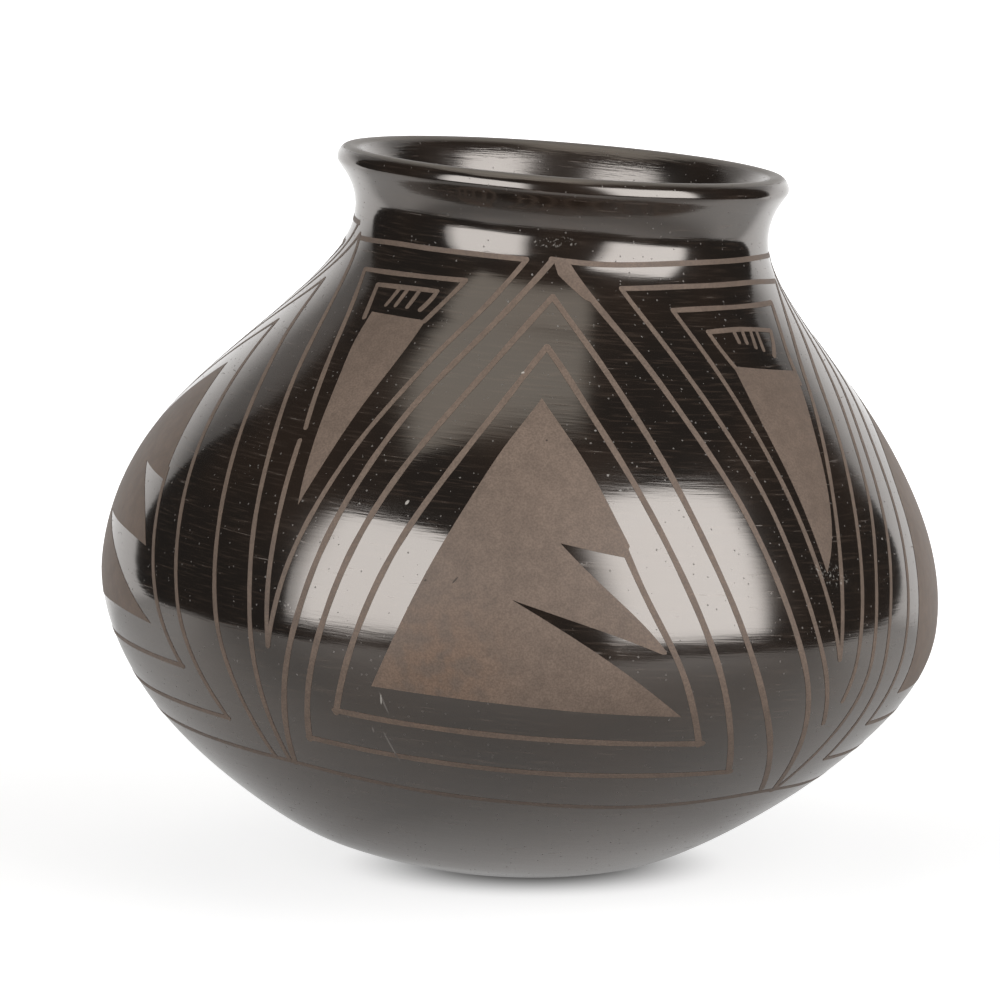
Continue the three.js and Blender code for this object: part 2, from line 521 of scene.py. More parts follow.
def base_bowl(edge):
    clay = Clay()
    outer = add_rings(clay, outside, stations(OUTSIDE_STEP, edge, OUTSIDE_STEP))
    inner = add_inside(clay, edge - LAP, INSIDE_STEP)
    rings = outer + inner
    for k in range(len(rings) - 1):
        join_rings(clay, rings[k], rings[k + 1], smooth=k != len(outer) - 1)
    cap(clay, outside, outer[0], flip=False)
    cap(clay, inside, inner[-1], flip=True)
    return clay


def rim_coil():
    clay = Clay()
    along = stations(0, RIM_LINE.length, RIM_STEP)
    roll = add_rings(clay, rim_skin, along, wear=rim_wear(along))
    inner = add_inside(clay, WALL_LINE.length, WALL_LINE.length - LAP)
    close_course(clay, roll + inner, {len(roll) + len(inner) - 1})
    return clay


def smooth_line(points):
    """A rounded line (a cubic B-spline) led by the points, in steps of about BRUSH_STEP on the surface."""
    p = np.array(points, float)
    padded = np.vstack([2 * p[0] - p[1], p, 2 * p[-1] - p[-2]])
    line = [p[0]]
    for a, b, c, d in zip(padded, padded[1:], padded[2:], padded[3:]):
        turn = math.radians(c[0] - b[0]) * WALL_LINE.at((b[1] + c[1]) / 2)[0]
        count = max(2, int(math.hypot(turn, c[1] - b[1]) / BRUSH_STEP))
        for t in np.arange(1, count + 1) / count:
            weights = ((1 - t) ** 3, 3 * t**3 - 6 * t * t + 4, 1 + 3 * t + 3 * t * t - 3 * t**3, t**3)
            line.append(sum(w * q for w, q in zip(weights, (a, b, c, d))) / 6)
    return np.array(line)


def rounded(line, course, half, radius):
    """A line, its course and its half widths, with a few narrowing stations past each end."""
    reach = np.sin(np.radians(LINE_END_ANGLES))
    ends = []
    for k, sign in ((0, -1), (-1, 1)):
        step = sign * course[k] * half[k] * [np.degrees(1 / radius[k]), 1.0]
        past = line[k] + reach[:, None] * step
        ends.append((past, np.tile(course[k], (len(reach), 1)), half[k] * np.sqrt(1 - reach**2)))
    (start, end), middle = ends, (line, course, half)
    return [np.concatenate([a[::-1], b, c]) for a, b, c in zip(start, middle, end)]


def line_edges(points, width):
    """The left and the right edge of a brushed line led by the points."""
    line = smooth_line(points)
    radius = WALL_LINE.at(line[:, 1])[:, 0]
    across, up = np.radians(line[:, 0]) * radius, line[:, 1]
    course = np.gradient(line, axis=0)
    course[:, 0] = np.radians(course[:, 0]) * radius
    course /= np.linalg.norm(course, axis=1)[:, None]
    swell = np.sin(SWELL_ACROSS * across + SWELL_UP * up) * np.cos(SWELL_SLOW * up)
    half = width / 2 * (1 + BRUSH_SWELL * swell)
    line, course, half = rounded(line, course, half, radius)
    radius = WALL_LINE.at(line[:, 1])[:, 0]
    side = np.stack([np.degrees(-course[:, 1] * half / radius), course[:, 0] * half], 1)
    return line + side, line - side


class Paint(Clay):
    """Thin slabs of paint on the outside of the jar; places are (degrees round, millimetres along)."""

    def __init__(self):
        super().__init__()
        self.layers = 0

    def lay(self, places):
        """Adds a top and a bottom point for each place and returns the two runs of numbers."""
        theta = np.radians(places[:, 0])
        along = places[:, 1]
        proud = PAINT_PROUD + PAINT_LAYER * (self.layers % PAINT_LAYERS)
        normal = normals_of(outside, theta, along)
        top = self.add(outside(theta, along, np.full(len(along), proud)), normal)
        under = self.add(outside(theta, along, np.full(len(along), PAINT_SUNK)), -normal)
        return top + np.arange(len(along)), under + np.arange(len(along))

    def stroke(self, points, width=SIDE_LINE_WIDTH):
        """Draws a line led by the points."""
        left, right = line_edges(points, width)
        self.layers += 1
        left_top, left_under = self.lay(left)
        right_top, right_under = self.lay(right)
        for k in range(len(left) - 1):
            n = k + 1
            self.face((right_top[k], right_top[n], left_top[n], left_top[k]))
            self.face((right_under[n], right_under[k], left_under[k], left_under[n]))
            self.face((left_top[k], left_top[n], left_under[n], left_under[k]), False)
            self.face((right_top[n], right_top[k], right_under[k], right_under[n]), False)
        self.face((left_top[0], left_under[0], right_under[0], right_top[0]), False)
        self.face((right_top[-1], right_under[-1], left_under[-1], left_top[-1]), False)

    def fill(self, *edges):
        """Fills the shape that a run of smooth edges closes, each starting where the last one ends."""
        outline = np.vstack([smooth_line(edge)[:-1] for edge in edges])
        stretch = math.radians(1.0) * FILL_RADIUS
        flat = outline * [stretch, 1.0]
        low, high = flat.min(0) + FILL_GRID / 2, flat.max(0)
        grid_x, grid_y = (np.arange(low[i], high[i], FILL_GRID) for i in (0, 1))
        points = [Vector(p) for p in flat] + [Vector((x, y)) for x in grid_x for y in grid_y]
        ring = list(range(len(flat)))
        spots, _, triangles, *_ = delaunay_2d_cdt(points, [], [ring], FILL_INSIDE_ONLY, FILL_MERGE)
        places = np.array([[p[0] / stretch, p[1]] for p in spots])
        self.layers += 1
        top, under = self.lay(places)
        for a, b, c in triangles:
            self.face((top[a], top[b], top[c]))
            self.face((under[c], under[b], under[a]))
        sides = dict.fromkeys((a, b) for face in triangles for a, b in zip(face, face[1:] + face[:1]))
        for a, b in sides:
            if (b, a) not in sides:
                self.face((top[b], top[a], under[a], under[b]), False)


def moved(points, turn):
    return [(theta + turn, along) for theta, along in points]


# The design, as places on the jar: degrees round from the front and millimetres up the outside.
# An upright triangle has three nested outlines round a solid with two notches in its right side.
FRONT_LEFT = {
    "outer": [
        (-3.2, 276.5), (-9.8, 267.2), (-17.5, 250), (-23.8, 227.8), (-26.4, 202.9), (-29.8, 169.8),
        (-32.7, 133.8), (-34.2, 109.5),
    ],
    "second": [
        (-2.3, 266.5), (-7.7, 257.2), (-13.9, 238.8), (-19.1, 215.8), (-22.7, 193.9), (-26, 168.3),
        (-28.6, 138.8), (-29.5, 121.7),
    ],
    "third": [
        (-2.4, 250.4), (-5.5, 242.2), (-10.5, 222.3), (-14.7, 201.9), (-18.5, 182.8), (-22, 158.8),
        (-24.3, 133.8),
    ],
    "solid": [
        (-1.9, 233.1), (-6.4, 217.3), (-8.8, 203.8), (-12.1, 185.8), (-14.7, 171.3),
        (-17.5, 153.8), (-19.1, 144.4),
    ],
}
FRONT_RIGHT = {
    "outer": [
        (1.4, 275.5), (9.7, 263.3), (18, 248.1), (24.4, 227.8), (30.2, 207.8), (34.7, 184.7),
        (38.9, 161.8), (44.9, 136.9), (52.1, 108.8),
    ],
    "second": [
        (-2.3, 266.5), (2.4, 259.3), (9.5, 245), (15.6, 226.8), (21, 207.8), (28.9, 169.8),
        (34.3, 145.9), (47.9, 110.9),
    ],
    "third": [
        (-2.4, 250.4), (2.2, 241.8), (10.3, 220.3), (15.2, 204), (19.2, 188.7), (24.7, 164.2),
        (29.4, 143.9), (35.8, 121.5),
    ],
    "inner": [(12.2, 190.5), (15.7, 174.4), (20.5, 159.1), (23.8, 145.9), (27.4, 132.8)],
    "solid": [(-1.9, 233.1), (5.3, 217.3), (9.3, 204.7), (13.3, 189.5)],
}
FRONT_NOTCHES = [
    [(13.3, 189.5), (12.8, 186.2)],
    [(12.8, 186.2), (8.3, 187.5), (3.7, 189.1)],
    [(3.7, 189.1), (7.4, 182.1), (11.7, 174.8), (15.8, 167.7), (18.7, 161.4)],
    [(18.7, 161.4), (18.9, 160.4), (18.2, 160.5)],
    [(18.2, 160.5), (11.4, 165.4), (-2, 172.6)],
    [(-2, 172.6), (2.8, 167.8), (12.8, 156.5), (22.7, 142.5)],
]
FRONT_APEX = [
    [(-2.8, 277.2), (1.6, 277)],
    [(1.6, 277), (2.2, 274.4), (8, 265.2)],
    [(8, 265.2), (5.3, 266.6)],
    [(5.3, 266.6), (-1.3, 273)],
    [(-1.3, 273), (-2.8, 277.2)],
]
FRONT_FEET = {
    "second": [(-29.6, 122.4), (-19.7, 121.1), (0.3, 119.5), (15.4, 119.6), (36.2, 121.3)],
    "third": [(-24.5, 134.6), (-14.7, 133.4), (0, 132.9), (15, 132.8), (27.8, 133.2)],
    "solid": [(22.7, 142.5), (9.8, 142.7), (-0.2, 143.6), (-19.1, 144.4)],
}
RIGHT_TURN = 93.7
RIGHT_LEFT = {
    "outer": [
        (91, 277.3), (85, 263.3), (78.9, 251.3), (73.1, 241.3), (68.4, 231), (64.4, 219.8),
        (60.4, 202.6), (56.8, 187.6), (54.4, 170.8), (53.8, 145), (52.4, 108.8),
    ],
    "second": [
        (92.1, 264.7), (86, 252.3), (79.1, 240.3), (73.7, 231.7), (69.1, 221.9), (65.1, 207.6),
        (60.6, 184.6), (57.5, 164.8), (57.8, 143), (58.4, 121.5),
    ],
    "third": [
        (92, 250.9), (86, 240.3), (79.4, 230.2), (74.3, 221), (70.2, 207.6), (66.7, 189.5),
        (64.2, 169.8), (62.6, 150.1), (62.6, 134),
    ],
    "solid": [
        (92.1, 233.6), (86, 226.3), (79.8, 218.2), (75.1, 208.3), (72.6, 199.6), (70.4, 184.5),
        (68, 165.8), (67.1, 143.1),
    ],
}
LEFT_LEFT = {
    "outer": [
        (-71.6, 275.5), (-80.3, 262.6), (-90, 246.3), (-96, 225.3), (-100, 200.2), (-103, 168.2),
        (-105.5, 134.1), (-107, 109.7),
    ],
    "second": [
        (-75.4, 259.6), (-80.2, 251), (-90, 236.3), (-95, 215.2), (-98.5, 190.2), (-101, 165.2),
        (-103.5, 121.9),
    ],
    "third": [
        (-77.4, 242.4), (-85, 229.3), (-90, 218.2), (-94, 200.2), (-96.5, 178.2), (-98.5, 155.1),
        (-99.5, 134.1),
    ],
    "solid": [
        (-78.8, 224.6), (-85, 213.2), (-90, 202.2), (-92.5, 186.2), (-93.5, 168.2), (-95, 145.1),
    ],
}
LEFT_RIGHT = {
    "outer": [
        (-71.6, 275.5), (-61.1, 255.9), (-54.3, 237.6), (-47.4, 216.8), (-42.9, 199),
        (-39.9, 178.9), (-37.7, 156.8), (-36.3, 134.9), (-35.1, 110.5),
    ],
    "second": [
        (-75.4, 259.6), (-70.1, 248), (-64.5, 237.1), (-57.4, 221.3), (-50.8, 201), (-46.8, 180.9),
        (-44.1, 156.8), (-41, 136.8), (-38, 110.6),
    ],
    "third": [
        (-77.4, 242.4), (-71.3, 229.5), (-64.6, 212.3), (-59.2, 196), (-55.3, 177.9),
        (-51.8, 154.7), (-45, 122.3),
    ],
    "inner": [(-65.2, 190.5), (-62.2, 179), (-60.5, 170.4), (-57.3, 155.7), (-52, 137.3)],
    "solid": [(-78.8, 224.6), (-73.9, 215.6), (-70.4, 207.1), (-67, 197.1), (-64.5, 187.4)],
}
LEFT_NOTCHES = [
    [(-64.5, 187.4), (-69.7, 188.4), (-75.4, 189.7)],
    [(-75.4, 189.7), (-70.8, 184.7), (-65.4, 177), (-62.4, 168.5)],
    [(-62.4, 168.5), (-69.8, 170.5), (-84.5, 171.5)],
    [(-84.5, 171.5), (-78, 167.1), (-70.4, 160.7), (-58.7, 147.7)],
]
LEFT_FEET = {
    "second": [(-103.5, 121.9), (-85, 121.9), (-64.7, 122.5), (-44.9, 122.5)],
    "third": [(-99.6, 134.1), (-85, 136.1), (-68, 137.5), (-51.8, 137.5)],
    "solid": [(-58.7, 147.7), (-70.4, 148.6), (-82, 147.6), (-95, 145.1)],
}

# An inverted triangle hangs from the ring round the neck: nested outlines round a ticked bar and a solid.
RIGHT_FAN = {
    "top": [
        (-3.3, 277.1), (9.6, 276.5), (25.5, 277.7), (40.8, 278.5), (59.2, 278.9), (72.6, 279),
        (89, 278.3),
    ],
    "outer_right": [
        (88, 278.3), (78.8, 261.3), (72.7, 252.8), (67.3, 245.1), (63.1, 236), (59.3, 220.8),
        (54.6, 200.7), (52, 179.7), (50.6, 160.9), (50.1, 145),
    ],
    "second_top": [
        (15, 270.4), (29.9, 271.6), (39.9, 272), (58.1, 272.6), (67.1, 272.3), (79.9, 271.3),
    ],
    "second_left": [
        (15, 270.4), (21, 259.1), (27, 242.8), (31.8, 224.4), (36.4, 202.8), (39.6, 178.7),
        (43.8, 155.9), (48.5, 137.9),
    ],
    "second_right": [
        (79.9, 271.3), (72.4, 263.2), (66.8, 255.6), (62.2, 248), (59.4, 240.9), (54.8, 225.4),
        (50.3, 205.7), (47.9, 185.7), (46.9, 169.8), (46.8, 157.9),
    ],
    "third_top": [(27.6, 264.6), (39.3, 265.5), (60.3, 265.8), (66.3, 266)],
    "third_left": [
        (27.6, 264.6), (32.8, 250.3), (36.8, 230.9), (40.4, 205.7), (43, 183.7), (46.7, 157.9),
    ],
    "third_right": [(66.3, 266), (61.9, 257.5), (58, 249), (56.5, 239.9)],
    "bar": [(35.3, 258), (43.9, 258.9), (51.3, 258.5), (57.3, 257.7)],
    "bar_right": [(57.3, 257.7), (55.3, 253.4), (52.8, 249.5)],
    "bar_left": [(35.3, 258), (37.2, 251), (39, 245.9)],
    "tick_1": [(43.2, 258.4), (43.3, 254.6)],
    "tick_2": [(46.1, 258.1), (45.7, 254.3)],
    "tick_3": [(49.1, 258.2), (48, 252.7)],
    "tick_4": [(51.3, 257.9), (50.2, 251.7)],
}
RIGHT_FAN_SOLID = [
    [
        (44.8, 181.9), (47, 189.7), (48.9, 201.7), (50.9, 215.1), (52.7, 225.4), (54.8, 233.9),
        (57.1, 244.2),
    ],
    [(57.1, 244.2), (48.1, 245.3), (38.5, 246.7)],
    [(38.5, 246.7), (39.6, 230.6), (41, 217.7), (42.3, 205.7), (43.4, 193.7), (44.8, 181.9)],
]
LEFT_FAN = {
    "top": [
        (-71.5, 274.5), (-60.7, 274.9), (-50.8, 275.8), (-35.8, 275.9), (-25.7, 276.3),
        (-9.9, 276.4),
    ],
    "outer_right": [
        (-9.9, 276.4), (-14.4, 269.1), (-18.7, 259), (-24, 246.2), (-27.5, 226.8), (-29.7, 212.8),
        (-31.7, 189.9), (-33.8, 169.8), (-34.6, 150.8),
    ],
    "second_top": [(-58, 266.4), (-40.4, 267.5), (-24.8, 268.4)],
    "second_right": [(-24.8, 268.4), (-27.9, 261.1), (-30.3, 253.8)],
    "second_left": [
        (-58, 266.4), (-52.5, 255), (-46.1, 235.2), (-42.8, 223.2), (-40.4, 213),
    ],
    "second_left_again": [(-40, 208.9), (-38.7, 201), (-36.6, 183.9), (-35.9, 169.8), (-34.6, 150.8)],
    "bar": [(-49.3, 262.7), (-39.9, 263.5), (-33.3, 263.9), (-30.9, 263.9)],
    "bar_right": [(-30.9, 263.9), (-31.3, 261.1), (-32.7, 257.4)],
    "bar_left": [(-49.3, 262.7), (-46.1, 251.6)],
    "tick_1": [(-41.7, 262.6), (-42.5, 256.9)],
    "tick_2": [(-39.2, 262.8), (-39.8, 257.3)],
    "tick_3": [(-35.7, 263.1), (-36.4, 257.5)],
}
LEFT_FAN_SOLID = [
    [(-34.6, 190.5), (-33.7, 200.9), (-33.2, 211.8), (-32.6, 225.4), (-31.5, 237.8), (-30.1, 254.1)],
    [(-30.1, 254.1), (-37.9, 254.1), (-45.1, 253.9)],
    [
        (-45.1, 253.9), (-44.1, 243.7), (-42, 235.8), (-39.8, 225.7), (-38.2, 215.2),
        (-36.7, 205.9), (-34.6, 190.5),
    ],
]
BACK_TURN = 192.7
BACK_RIGHT_FAN_TURN = 99.0
BACK_LEFT_FAN_TURN = 196.0
FOOT_RING = [
    (-110, 109.2), (-75, 110.4), (-44.5, 110.3), (-33.6, 109.9), (-25.6, 108.2), (-9.5, 105.6),
    (10.7, 104.4), (26.4, 104.7), (40.8, 107.9), (49.6, 109.6), (58.3, 109), (70, 107.6),
    (110, 107.6), (180, 108.7), (250, 109.2),
]


def upright(left, right, notches, feet, left_turn=0.0, right_turn=0.0, width=SIDE_LINE_WIDTH):
    """An upright triangle, with its two halves turned round the jar."""
    paint = Paint()
    for name in ("outer", "second", "third"):
        paint.stroke(moved(left[name], left_turn), width)
        paint.stroke(moved(right[name], right_turn), width)
    paint.stroke(moved(right["inner"], right_turn), width)
    for name in ("second", "third"):
        paint.stroke(feet[name], width)
    edges = [moved(left["solid"], left_turn)[::-1], moved(right["solid"], right_turn)]
    edges += [moved(edge, right_turn) for edge in notches]
    paint.fill(*edges, feet["solid"])
    return paint


def front_triangle():
    """Its apex is brushed out into a wedge."""
    paint = upright(FRONT_LEFT, FRONT_RIGHT, FRONT_NOTCHES, FRONT_FEET, width=LINE_WIDTH)
    paint.fill(*FRONT_APEX)
    return paint


def back_triangle():
    feet = {name: moved(foot, BACK_TURN) for name, foot in FRONT_FEET.items()}
    return upright(FRONT_LEFT, FRONT_RIGHT, FRONT_NOTCHES, feet, BACK_TURN, BACK_TURN, LINE_WIDTH)


def right_triangle():
    """Its left half is drawn as it shows at the jar's edge; its right half is taken from the front one."""
    feet = {}
    for name, foot in FRONT_FEET.items():
        turned = moved(foot, RIGHT_TURN)
        corner = RIGHT_LEFT[name][-1]
        feet[name] = turned[:-1] + [corner] if name == "solid" else [corner] + turned[2:]
    return upright(RIGHT_LEFT, FRONT_RIGHT, FRONT_NOTCHES, feet, 0.0, RIGHT_TURN)


def left_triangle():
    return upright(LEFT_LEFT, LEFT_RIGHT, LEFT_NOTCHES, LEFT_FEET)


def fan(lines, solid, turn=0.0):
    """An inverted triangle, turned round the jar."""
    paint = Paint()
    for name, line in lines.items():
        paint.stroke(moved(line, turn), TICK_WIDTH if name.startswith("tick") else SIDE_LINE_WIDTH)
    paint.fill(*(moved(edge, turn) for edge in solid))
    return paint


def foot_ring():
    paint = Paint()
    paint.stroke(FOOT_RING)
    return paint


class Graph:
    """A tree of nodes; an input takes a number, a vector, a colour or another node's output."""

    def __init__(self, tree):
        self.tree = tree

    def node(self, kind, inputs=None, **settings):
        made = self.tree.nodes.new("ShaderNode" + kind)
        for key, value in settings.items():
            setattr(made, key, value)
        self.wire(made, inputs or {})
        return made

    def wire(self, node, inputs):
        for key, value in inputs.items():
            if isinstance(value, bpy.types.NodeSocket):
                self.tree.links.new(value, node.inputs[key])
            else:
                node.inputs[key].default_value = value

    def ramp(self, value, low, high, to_low=0.0, to_high=1.0):
        inputs = {"Value": value, "From Min": low, "From Max": high, "To Min": to_low, "To Max": to_high}
        return self.node("MapRange", inputs, interpolation_type="SMOOTHSTEP").outputs[0]

    def math(self, operation, *values):
        return self.node("Math", dict(enumerate(values)), operation=operation).outputs[0]

    def length(self, vector, stretch=None):
        """A vector's length, with its axes stretched first where that is asked for."""
        if stretch:
            vector = self.node("VectorMath", {0: vector, 1: stretch}, operation="MULTIPLY").outputs[0]
        return self.node("VectorMath", {0: vector}, operation="LENGTH").outputs["Value"]


class Surface(Graph):
    """A material's nodes."""

    def __init__(self, name):
        self.material = bpy.data.materials.new(name)
        self.material.use_nodes = True
        super().__init__(self.material.node_tree)
        self.shader = self.tree.nodes["Principled BSDF"]
        self.place = self.node("TexCoord").outputs["Object"]

    def noise(self, place, scale, detail=2.0):
        return self.node("TexNoise", {"Vector": place, "Scale": scale, "Detail": detail}).outputs[0]

    def blend(self, share, first, second):
        """The second colour laid over the first by a share; 6, 7 and 2 are the Mix node's colour sockets."""
        return self.node("Mix", {0: share, 6: first, 7: second}, data_type="RGBA").outputs[2]

    def bump(self, height, depth, under=None, strength=1.0):
        """Relief of the given depth, on top of another one."""
        inputs = {"Height": height, "Distance": depth, "Strength": strength}
        if under:
            inputs["Normal"] = under
        return self.node("Bump", inputs).outputs[0]

    def spots(self, scale, largest, empty):
        """Ragged spots of mixed sizes, one to a cell, with the given share of the cells left empty."""
        finer = SPOT_RAGGED_SCALE * scale
        ragged = self.node("TexNoise", {"Vector": self.place, "Scale": finer}).outputs["Color"]
        shift = self.node("VectorMath", {0: ragged, "Scale": SPOT_RAGGED / scale}, operation="SCALE")
        place = self.node("VectorMath", {0: self.place, 1: shift.outputs[0]}, operation="ADD").outputs[0]
        cells = self.node("TexVoronoi", {"Vector": place, "Scale": scale})
        chance = self.node("SeparateColor", {"Color": cells.outputs["Color"]}).outputs[0]
        size = self.ramp(chance, empty, 1.0, 0.0, largest)
        return self.ramp(self.math("SUBTRACT", size, cells.outputs["Distance"]), 0.0, SPOT_EDGE)


def mark_frame(theta, along, turn):
    """The place of a mark and the turn that lays its own X along it and its own Z out of the wall."""
    theta, along = np.radians([theta]), np.array([along])
    out = Vector(normals_of(outside, theta, along)[0])
    around = Vector((math.cos(theta[0]), math.sin(theta[0]), 0.0))
    level = (around - around.project(out)).normalized()
    up = out.cross(level)
    angle = math.radians(turn)
    course = level * math.cos(angle) + up * math.sin(angle)
    axes = Matrix((course, out.cross(course), out)).transposed()
    return tuple(outside(theta, along)[0]), tuple(axes.to_euler())


def marks(graph, places):
    """1 inside any of the marks and 0 elsewhere."""
    share = 0.0
    for theta, along, half_length, half_width, turn in places:
        centre, rotation = mark_frame(theta, along, turn)
        size = (half_length * MM, half_width * MM, half_length * MM)
        inputs = {"Vector": graph.place, "Location": centre, "Rotation": rotation, "Scale": size}
        own_place = graph.node("Mapping", inputs, vector_type="TEXTURE").outputs[0]
        share = graph.math("MAXIMUM", share, graph.ramp(graph.length(own_place), 1.0, MARK_EDGE))
    return share


def used(graph, colour):
    """A colour with its scratches, chips, scuffs and pits."""
    speckle = graph.ramp(graph.noise(graph.place, SCUFF_SCALE, detail=3.0), *SCUFF_SPAN)
    scuffed = graph.math("MULTIPLY", marks(graph, SCUFFS), speckle)
    pale = graph.math("MAXIMUM", marks(graph, CHIPS), graph.math("MULTIPLY", scuffed, SCUFF_SHARE))
    scratched = graph.blend(marks(graph, SCRATCHES), colour, SCRATCH_COLOUR)
    return graph.blend(marks(graph, PITS), graph.blend(pale, scratched, CHIP_COLOUR), PIT_COLOUR)


def burnish():
    """Smoke-black slip, rubbed with a stone in level strokes: nearly a mirror, with streaks and dust."""
    graph = Surface("burnished_black")
    upright_place = graph.node("Mapping", {"Vector": graph.place, "Rotation": (0, -LEAN, 0)}).outputs[0]
    stroke_place = graph.node("Mapping", {"Vector": upright_place, "Scale": STROKE_SCALE}).outputs[0]
    strokes = graph.noise(stroke_place, scale=1.0, detail=3.0)
    facet_place = graph.node("Mapping", {"Vector": upright_place, "Scale": FACET_SCALE}).outputs[0]
    facets = graph.bump(graph.noise(facet_place, scale=1.0, detail=1.0), FACET_DEPTH)
    patches = graph.noise(graph.place, PATCH_SCALE, detail=3.0)
    wear = graph.node("Attribute", attribute_name="wear").outputs["Fac"]
    slip = graph.blend(graph.ramp(patches, *BROWN_SPAN), SLIP_COOL, SLIP_BROWN)
    streaked = graph.blend(graph.ramp(strokes, *STREAK_SPAN), slip, STREAK)
    grit = graph.spots(GRIT_SCALE, GRIT_LARGEST, GRIT_EMPTY)
    dust = graph.spots(DUST_SCALE, DUST_LARGEST, DUST_EMPTY)
    dusty = graph.blend(dust, graph.blend(grit, streaked, GRIT), DUST)
    spotted = graph.math("MAXIMUM", grit, dust)
    spoiled = graph.math("MAXIMUM", spotted, graph.ramp(strokes, *STREAK_DULL_SPAN))
    rubbed = graph.ramp(wear, INSIDE_WEAR, 1.0)
    scraped = graph.ramp(wear, 0.0, INSIDE_WEAR, STROKE_POLISHED, 1.0)
    gloss = graph.ramp(patches, *NOISE_SPAN, GLOSS_BEST, GLOSS_WORST)
    dulled = graph.math("ADD", gloss, graph.math("MULTIPLY", wear, WEAR_DULLS))
    graph.wire(graph.shader, {
        "Base Color": used(graph, graph.blend(rubbed, dusty, RUBBED_CLAY)),
        "Roughness": graph.math("ADD", dulled, graph.math("MULTIPLY", spoiled, SPOTS_DULL)),
        "IOR": BURNISH_IOR,
        "Specular Tint": BURNISH_TINT,
        "Normal": graph.bump(strokes, STROKE_DEPTH, facets, scraped),
    })
    return graph.material


def matte_paint():
    """Clay paint with a fine grain, a slow change of shade and a browner stain, darker towards the foot."""
    graph = Surface("matte_paint")
    grain = graph.noise(graph.place, GRAIN_SCALE)
    slow = graph.noise(graph.place, PATCH_SCALE)
    mottle = graph.noise(graph.place, MOTTLE_SCALE, detail=4.0)
    shade = 1.0
    for noise, limits in ((grain, GRAIN_SHADE), (mottle, MOTTLE_SHADE), (slow, SLOW_SHADE)):
        shade = graph.math("MULTIPLY", shade, graph.ramp(noise, *NOISE_SPAN, *limits))
    centre = tuple(outside(np.radians([STAIN_PLACE[0]]), np.array([STAIN_PLACE[1]]))[0])
    away = graph.node("VectorMath", {0: graph.place, 1: centre}, operation="DISTANCE").outputs["Value"]
    stain = graph.math("MULTIPLY", graph.ramp(away, STAIN_REACH, 0.0), graph.ramp(mottle, *STAIN_SPAN))
    stand = (STAND_X * MM, 0, STAND_Z * MM)
    own_axes = {"Vector": graph.place, "Location": stand, "Rotation": (0, LEAN, 0)}
    own_place = graph.node("Mapping", own_axes, vector_type="TEXTURE").outputs[0]
    height = graph.node("SeparateXYZ", {0: own_place}).outputs["Z"]
    # The colour turns darker towards the foot, between two heights.
    footward = graph.ramp(height, FOOTWARD_FROM, FOOTWARD_TO)
    colour = graph.blend(footward, graph.blend(stain, PAINT_COLOUR, STAIN_COLOUR), FOOTWARD_COLOUR)
    shaded = graph.node("VectorMath", {0: colour, "Scale": shade}, operation="SCALE").outputs[0]
    graph.wire(graph.shader, {
        "Base Color": used(graph, shaded),
        "Roughness": graph.ramp(grain, *NOISE_SPAN, *PAINT_ROUGHNESS),
        "IOR": PAINT_IOR,
        "Normal": graph.bump(grain, GRAIN_DEPTH),
    })
    return graph.material


def build_jar(material):
    joints = np.linspace(BASE_REACH, WALL_LINE.length, len(WALL_COILS) + 1)
    courses = {"base_bowl": base_bowl(joints[0])}
    for k, name in enumerate(WALL_COILS):
        courses[name] = coil(joints[k], joints[k + 1])
    courses["rim_coil"] = rim_coil()
    for name, clay in courses.items():
        piece = clay.make(name + "_skin", material, "burnished_black")
        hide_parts(name)


def build_paint(material):
    motifs = {
        "front_triangle": front_triangle(),
        "right_triangle": right_triangle(),
        "back_triangle": back_triangle(),
        "left_triangle": left_triangle(),
        "right_fan": fan(RIGHT_FAN, RIGHT_FAN_SOLID),
        "back_right_fan": fan(RIGHT_FAN, RIGHT_FAN_SOLID, BACK_RIGHT_FAN_TURN),
        "back_left_fan": fan(RIGHT_FAN, RIGHT_FAN_SOLID, BACK_LEFT_FAN_TURN),
        "left_fan": fan(LEFT_FAN, LEFT_FAN_SOLID),
        "foot_ring": foot_ring(),
    }
    for name, paint in motifs.items():
        paint.make("paint_" + name, material, "matte_paint")


def fade_out(light, fade):
    """Dims a panel towards its four edges, over the given shares of its width and height."""
    light.use_nodes = True
    graph = Graph(light.node_tree)
    across = graph.node("NewGeometry").outputs["Parametric"]
    sides = graph.node("SeparateXYZ", {0: across}).outputs
    shares = []
    for axis, reach in zip("XY", fade):
        off_centre = graph.math("ABSOLUTE", graph.math("SUBTRACT", sides[axis], 0.5))
        shares.append(graph.ramp(off_centre, 0.5, 0.5 - reach, EDGE_GLOW, 1.0))
    graph.wire(graph.tree.nodes["Emission"], {"Strength": graph.math("MULTIPLY", *shares)})


def soft_panel(name, place, rotation, width, height, glow, fade):
    light = bpy.data.lights.new(name, "AREA")
    light.shape = "RECTANGLE"
    light.size = width
    light.size_y = height
    light.energy = glow * math.pi * width * height
    fade_out(light, fade)
    panel = bpy.data.objects.new(name, light)
    bpy.context.scene.collection.objects.link(panel)
    panel.location = place
    panel.rotation_euler = rotation
    return panel


def heading(azimuth, elevation):
    """The direction at an angle round from the front, towards the right, and an angle up."""
    az, el = math.radians(azimuth), math.radians(elevation)
    return Vector((math.sin(az) * math.cos(el), -math.cos(az) * math.cos(el), math.sin(el)))


def soft_box(name, box, glow, fade):
    place = Vector(AIM) + BOX_DISTANCE * heading(box["azimuth"], box["elevation"])
    back = heading(box["yaw"], box["pitch"])
    turn = back.to_track_quat("Z", "Y").to_euler()
    soft_panel(name, place, turn, box["width"], box["height"], glow, fade)


